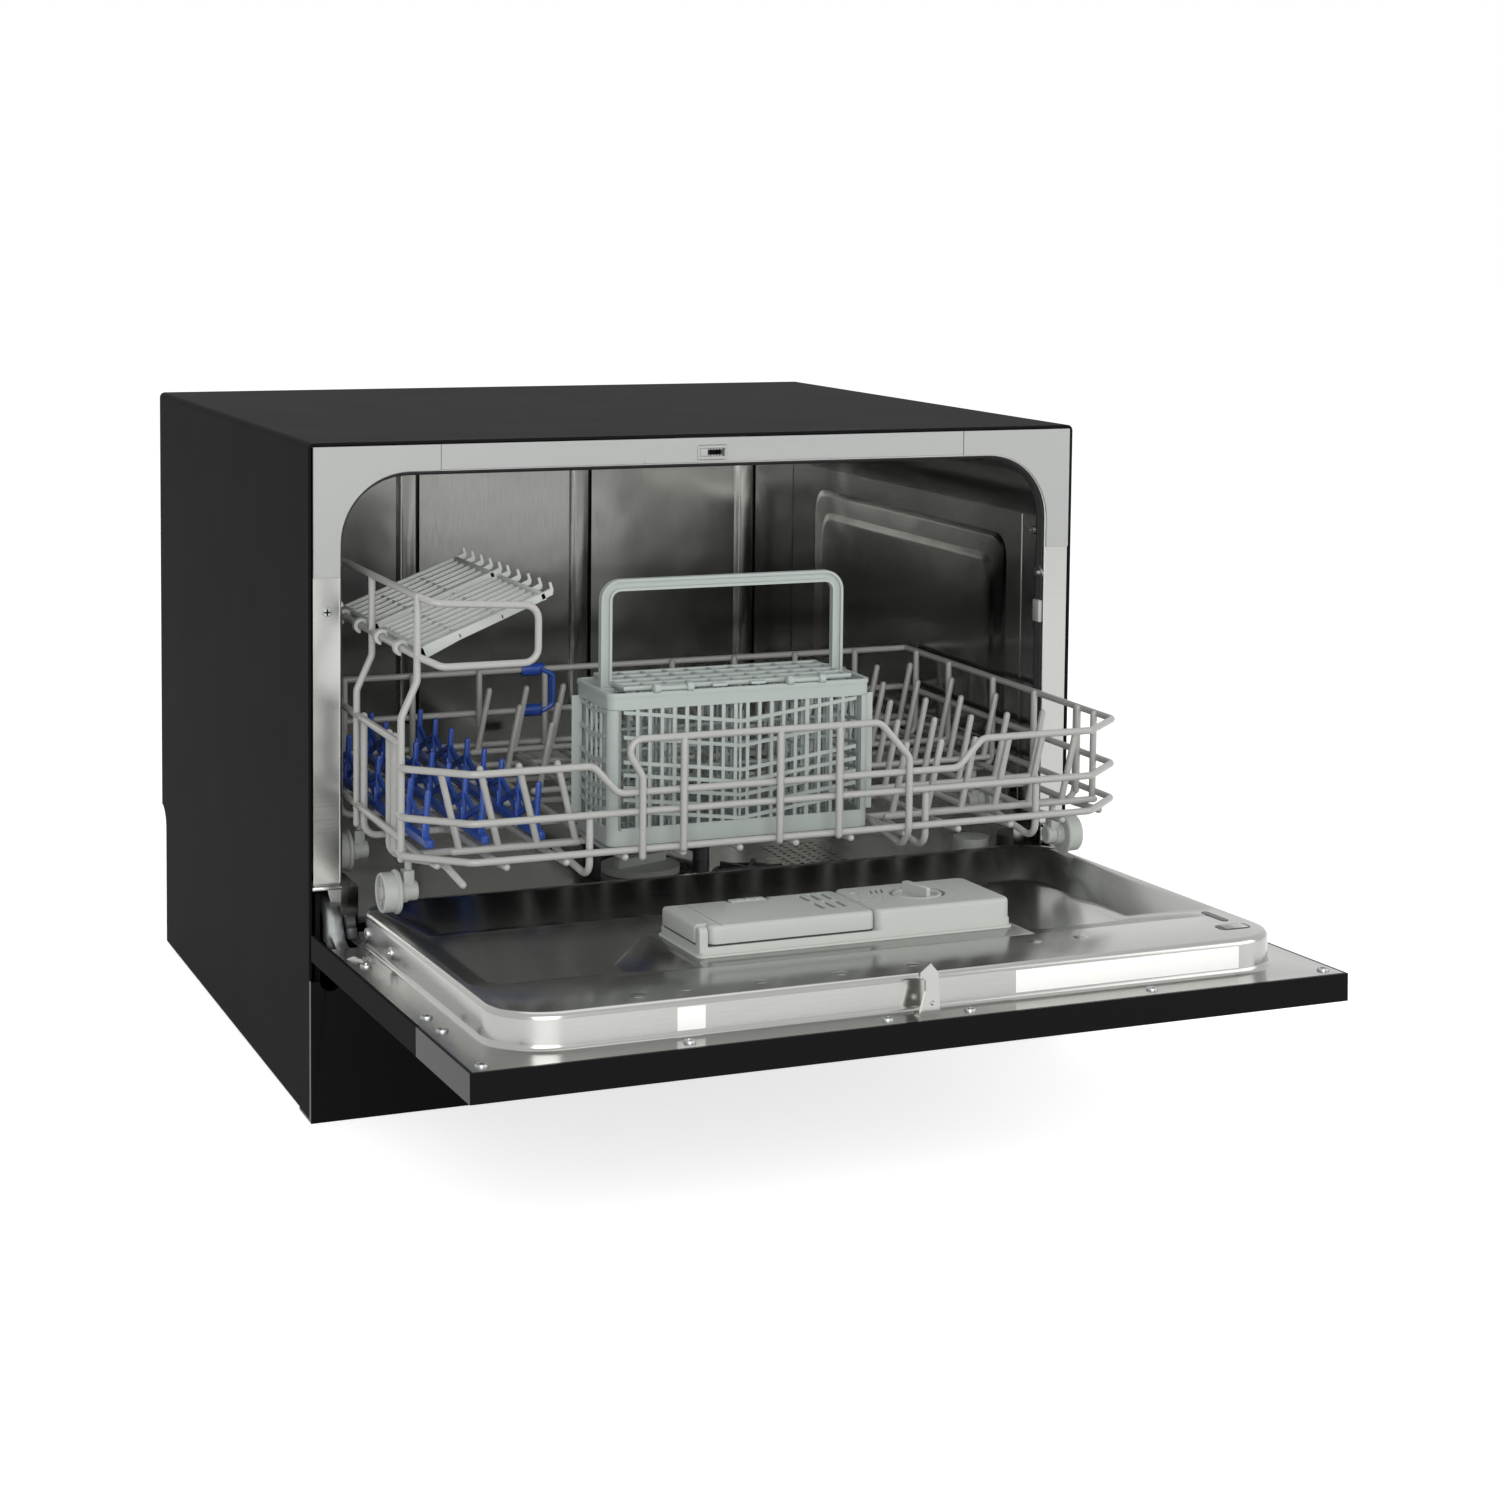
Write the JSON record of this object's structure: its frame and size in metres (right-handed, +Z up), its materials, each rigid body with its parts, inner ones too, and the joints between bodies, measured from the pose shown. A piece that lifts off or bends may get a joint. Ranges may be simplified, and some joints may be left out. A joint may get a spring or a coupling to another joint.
{
  "type": "countertop dishwasher",
  "caption": "Countertop dishwasher with a drop-down door, a wire dish basket on wheels, folding cup shelves, a lidded cutlery basket and a detergent dispenser.",
  "frame": {"origin": "middle of the plinth's lower front edge, on the worktop", "axes": "+X to the right seen from the front, +Y to the back, +Z up; the open door lies towards -Y"},
  "size_m": [0.55, 0.831, 0.438],
  "materials": {
    "black_coat": "satin",
    "gloss_black": "gloss",
    "dark_gloss": "gloss",
    "stainless": "brushed",
    "bright_steel": "satin",
    "galvanised": "dull zinc",
    "grey_trim": "satin",
    "grey_plastic": "satin",
    "cutlery_grey": "satin",
    "coated_wire": "satin",
    "blue_plastic": "satin",
    "dark_plastic": "satin",
    "white_plastic": "satin",
    "black_rubber": "matt",
    "board_green": "satin",
    "tank_plastic": "translucent white"
  },
  "bodies": {
    "cabinet": {"outer_casing": "black_coat", "rear_panel": "black_coat", "plinth_panel": "gloss_black", "base_tray": "dark_plastic", "feet": "black_rubber", "front_trim": "grey_trim", "corner_caps": "grey_trim", "tub_wrap": "stainless", "front_frame": "stainless", "tub_back": "stainless", "tub_floor": "stainless", "door_gasket": "black_rubber", "hinge_brackets": "galvanised", "door_springs": "galvanised", "sump": "dark_plastic", "filter_plate": "bright_steel", "spray_riser": "dark_plastic", "softener_tank": "tank_plastic", "wash_pump": "dark_plastic", "drain_pump": "dark_plastic", "water_heater": "galvanised", "inlet_valve": "white_plastic", "air_break": "tank_plastic", "latch_catch": "dark_plastic", "casing_screws": "galvanised"},
    "filter_cup": {"filter_cup": "dark_plastic"},
    "spray_arm": {"spray_arm": "bright_steel"},
    "salt_cap": {"salt_cap": "grey_plastic"},
    "float_dome": {"float_dome": "grey_plastic"},
    "door": {"door_panel": "black_coat", "control_panel": "gloss_black", "display_window": "dark_gloss", "control_board": "board_green", "door_liner": "stainless", "hinge_arms": "galvanised", "liner_screws": "bright_steel", "latch_hook": "bright_steel", "dispenser_body": "grey_plastic"},
    "power_button": {"power_button": "grey_trim"},
    "program_button": {"program_button": "grey_trim"},
    "start_button": {"start_button": "grey_trim"},
    "detergent_lid": {"detergent_lid": "grey_plastic"},
    "rinse_aid_knob": {"rinse_aid_knob": "grey_plastic"},
    "basket": {"basket_front": "coated_wire", "basket_sides": "coated_wire", "basket_back": "coated_wire", "basket_floor": "coated_wire", "plate_tines": "coated_wire", "glass_tines": "blue_plastic", "wheel_holders": "grey_plastic", "shelf_frame": "coated_wire", "shelf_rail": "coated_wire"},
    "wheel_front_left": {"wheel_front_left": "grey_plastic"},
    "wheel_front_right": {"wheel_front_right": "grey_plastic"},
    "wheel_rear_left": {"wheel_rear_left": "grey_plastic"},
    "wheel_rear_right": {"wheel_rear_right": "grey_plastic"},
    "cup_shelf_front": {"cup_shelf_front": "grey_plastic"},
    "cup_shelf_rear": {"cup_shelf_rear": "grey_plastic"},
    "cutlery_basket": {"cutlery_basket": "cutlery_grey"},
    "cutlery_lid": {"cutlery_lid": "cutlery_grey"}
  },
  "joints": [
    {"name": "door_hinge", "type": "hinge", "parent": "cabinet", "child": "door", "pos_m": [0, -0.02125, 0.11275], "axis": [-1, 0, 0], "range_deg": [0, 88.15]},
    {"name": "basket_slide", "type": "slide", "parent": "cabinet", "child": "basket", "axis": [0, 1, 0], "range_m": [0, 0.226]},
    {"name": "wheel_front_left_spin", "type": "hinge", "parent": "basket", "child": "wheel_front_left", "pos_m": [-0.241, -0.062, 0.1624], "axis": [-1, 0, 0], "range_deg": [0, 1040]},
    {"name": "wheel_rear_left_spin", "type": "hinge", "parent": "basket", "child": "wheel_rear_left", "pos_m": [-0.241, 0.056, 0.1624], "axis": [-1, 0, 0], "range_deg": [0, 1040]},
    {"name": "wheel_front_right_spin", "type": "hinge", "parent": "basket", "child": "wheel_front_right", "pos_m": [0.241, -0.062, 0.1624], "axis": [-1, 0, 0], "range_deg": [0, 1040]},
    {"name": "wheel_rear_right_spin", "type": "hinge", "parent": "basket", "child": "wheel_rear_right", "pos_m": [0.241, 0.056, 0.1624], "axis": [-1, 0, 0], "range_deg": [0, 1040]},
    {"name": "spray_arm_spin", "type": "hinge", "parent": "cabinet", "child": "spray_arm", "pos_m": [0, 0.222, 0.156], "axis": [0, 0, 1], "continuous": true},
    {"name": "filter_twist", "type": "hinge", "parent": "cabinet", "child": "filter_cup", "pos_m": [0.055, 0.062, 0.118], "axis": [0, 0, 1], "range_deg": [0, 90]},
    {"name": "salt_cap_twist", "type": "hinge", "parent": "cabinet", "child": "salt_cap", "pos_m": [-0.009, 0.109, 0.12], "axis": [0, 0, 1], "range_deg": [0, 120]},
    {"name": "float_lift", "type": "slide", "parent": "cabinet", "child": "float_dome", "axis": [0, 0, 1], "range_m": [0, 0.005]},
    {"name": "power_button_press", "type": "slide", "parent": "door", "child": "power_button", "axis": [0, 0.0323, 0.9995], "range_m": [0, 0.001], "stiffness_N_per_m": 400},
    {"name": "program_button_press", "type": "slide", "parent": "door", "child": "program_button", "axis": [0, 0.0323, 0.9995], "range_m": [0, 0.001], "stiffness_N_per_m": 400},
    {"name": "start_button_press", "type": "slide", "parent": "door", "child": "start_button", "axis": [0, 0.0323, 0.9995], "range_m": [0, 0.001], "stiffness_N_per_m": 400},
    {"name": "detergent_lid_hinge", "type": "hinge", "parent": "door", "child": "detergent_lid", "pos_m": [-0.046, -0.23486, 0.16692], "axis": [1, 0, 0], "range_deg": [0, 85]},
    {"name": "rinse_aid_knob_turn", "type": "hinge", "parent": "door", "child": "rinse_aid_knob", "pos_m": [0.0555, -0.20339, 0.16541], "axis": [0, 0.0323, 0.9995], "range_deg": [0, 90]},
    {"name": "cup_shelf_front_fold", "type": "hinge", "parent": "basket", "child": "cup_shelf_front", "pos_m": [-0.235, -0.054, 0.317], "axis": [0, -1, 0], "range_deg": [0, 52]},
    {"name": "cup_shelf_rear_fold", "type": "hinge", "parent": "basket", "child": "cup_shelf_rear", "pos_m": [-0.235, 0.0465, 0.317], "axis": [0, -1, 0], "range_deg": [0, 52]},
    {"name": "cutlery_basket_lift", "type": "slide", "parent": "basket", "child": "cutlery_basket", "axis": [0, 0, 1], "range_m": [0, 0.05]},
    {"name": "cutlery_lid_hinge", "type": "hinge", "parent": "cutlery_basket", "child": "cutlery_lid", "pos_m": [-0.031, -0.1245, 0.2918], "axis": [1, 0, 0], "range_deg": [0, 90]}
  ],
  "couplings": [
    {"joint": "basket_slide", "follows": "door_hinge", "m_per_rad": 0.14624},
    {"joint": "wheel_front_left_spin", "follows": "door_hinge", "ratio": 11.7},
    {"joint": "wheel_rear_left_spin", "follows": "door_hinge", "ratio": 11.7},
    {"joint": "wheel_front_right_spin", "follows": "door_hinge", "ratio": 11.7},
    {"joint": "wheel_rear_right_spin", "follows": "door_hinge", "ratio": 11.7}
  ]
}
